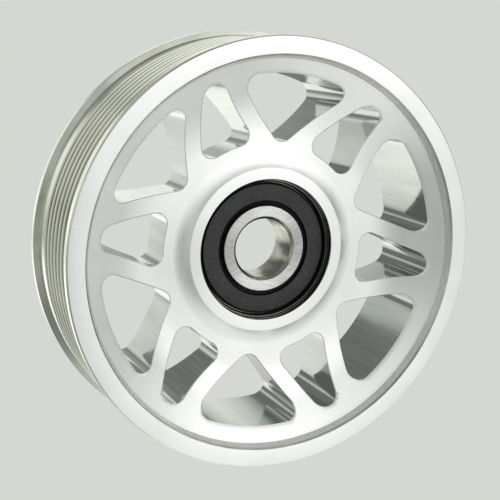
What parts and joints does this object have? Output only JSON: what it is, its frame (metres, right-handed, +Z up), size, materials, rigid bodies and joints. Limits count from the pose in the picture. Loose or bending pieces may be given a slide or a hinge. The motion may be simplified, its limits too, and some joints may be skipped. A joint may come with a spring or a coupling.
{
  "type": "ribbed belt idler pulley",
  "caption": "Ribbed belt idler pulley of machined aluminium with windowed web, turning on a sealed ball bearing pressed into its hub.",
  "frame": {"origin": "centre of the bearing, on the pulley's axis and in the middle of its width", "axes": "+Y along the axis toward the back face, which has the larger flange; the front faces -Y; +Z up"},
  "size_m": [0.122, 0.036, 0.122],
  "materials": {
    "machined_aluminium": "fine turned and milled, bare",
    "ring_steel": "ground",
    "ground_steel": "ground, light handling scratches",
    "ball_steel": "lapped",
    "cage_steel": "pressed sheet",
    "rivet_steel": "headed wire",
    "seal_rubber": "matt moulded",
    "insert_steel": "pressed sheet"
  },
  "bodies": {
    "inner_ring": {"bearing_inner_ring": "ground_steel"},
    "pulley": {"pulley_body": "machined_aluminium", "bearing_outer_ring": "ring_steel", "front_seal": "seal_rubber", "rear_seal": "seal_rubber", "front_seal_insert": "insert_steel", "rear_seal_insert": "insert_steel"},
    "cage": {"cage_front": "cage_steel", "cage_rear": "cage_steel", "cage_rivet_1": "rivet_steel", "cage_rivet_2": "rivet_steel", "cage_rivet_3": "rivet_steel", "cage_rivet_4": "rivet_steel", "cage_rivet_5": "rivet_steel", "cage_rivet_6": "rivet_steel", "cage_rivet_7": "rivet_steel", "cage_rivet_8": "rivet_steel"},
    "rolling_ball_1": {"ball_1": "ball_steel"},
    "rolling_ball_2": {"ball_2": "ball_steel"},
    "rolling_ball_3": {"ball_3": "ball_steel"},
    "rolling_ball_4": {"ball_4": "ball_steel"},
    "rolling_ball_5": {"ball_5": "ball_steel"},
    "rolling_ball_6": {"ball_6": "ball_steel"},
    "rolling_ball_7": {"ball_7": "ball_steel"},
    "rolling_ball_8": {"ball_8": "ball_steel"}
  },
  "joints": [
    {"name": "pulley_spin", "type": "hinge", "parent": "inner_ring", "child": "pulley", "pos_m": [0, 0, 0], "axis": [0, 1, 0], "continuous": true},
    {"name": "cage_orbit", "type": "hinge", "parent": "inner_ring", "child": "cage", "pos_m": [0, 0, 0], "axis": [0, 1, 0], "continuous": true},
    {"name": "ball_1_spin", "type": "hinge", "parent": "cage", "child": "rolling_ball_1", "pos_m": [0.01425, 0, 0], "axis": [0, 1, 0], "continuous": true},
    {"name": "ball_2_spin", "type": "hinge", "parent": "cage", "child": "rolling_ball_2", "pos_m": [0.01008, 0, 0.01008], "axis": [0, 1, 0], "continuous": true},
    {"name": "ball_3_spin", "type": "hinge", "parent": "cage", "child": "rolling_ball_3", "pos_m": [0, 0, 0.01425], "axis": [0, 1, 0], "continuous": true},
    {"name": "ball_4_spin", "type": "hinge", "parent": "cage", "child": "rolling_ball_4", "pos_m": [-0.01008, 0, 0.01008], "axis": [0, 1, 0], "continuous": true},
    {"name": "ball_5_spin", "type": "hinge", "parent": "cage", "child": "rolling_ball_5", "pos_m": [-0.01425, 0, 0], "axis": [0, 1, 0], "continuous": true},
    {"name": "ball_6_spin", "type": "hinge", "parent": "cage", "child": "rolling_ball_6", "pos_m": [-0.01008, 0, -0.01008], "axis": [0, 1, 0], "continuous": true},
    {"name": "ball_7_spin", "type": "hinge", "parent": "cage", "child": "rolling_ball_7", "pos_m": [0, 0, -0.01425], "axis": [0, 1, 0], "continuous": true},
    {"name": "ball_8_spin", "type": "hinge", "parent": "cage", "child": "rolling_ball_8", "pos_m": [0.01008, 0, -0.01008], "axis": [0, 1, 0], "continuous": true}
  ],
  "couplings": [
    {"joint": "cage_orbit", "follows": "pulley_spin", "ratio": 0.61837},
    {"joint": "ball_1_spin", "follows": "pulley_spin", "ratio": 1.9937},
    {"joint": "ball_2_spin", "follows": "pulley_spin", "ratio": 1.9937},
    {"joint": "ball_3_spin", "follows": "pulley_spin", "ratio": 1.9937},
    {"joint": "ball_4_spin", "follows": "pulley_spin", "ratio": 1.9937},
    {"joint": "ball_5_spin", "follows": "pulley_spin", "ratio": 1.9937},
    {"joint": "ball_6_spin", "follows": "pulley_spin", "ratio": 1.9937},
    {"joint": "ball_7_spin", "follows": "pulley_spin", "ratio": 1.9937},
    {"joint": "ball_8_spin", "follows": "pulley_spin", "ratio": 1.9937}
  ]
}
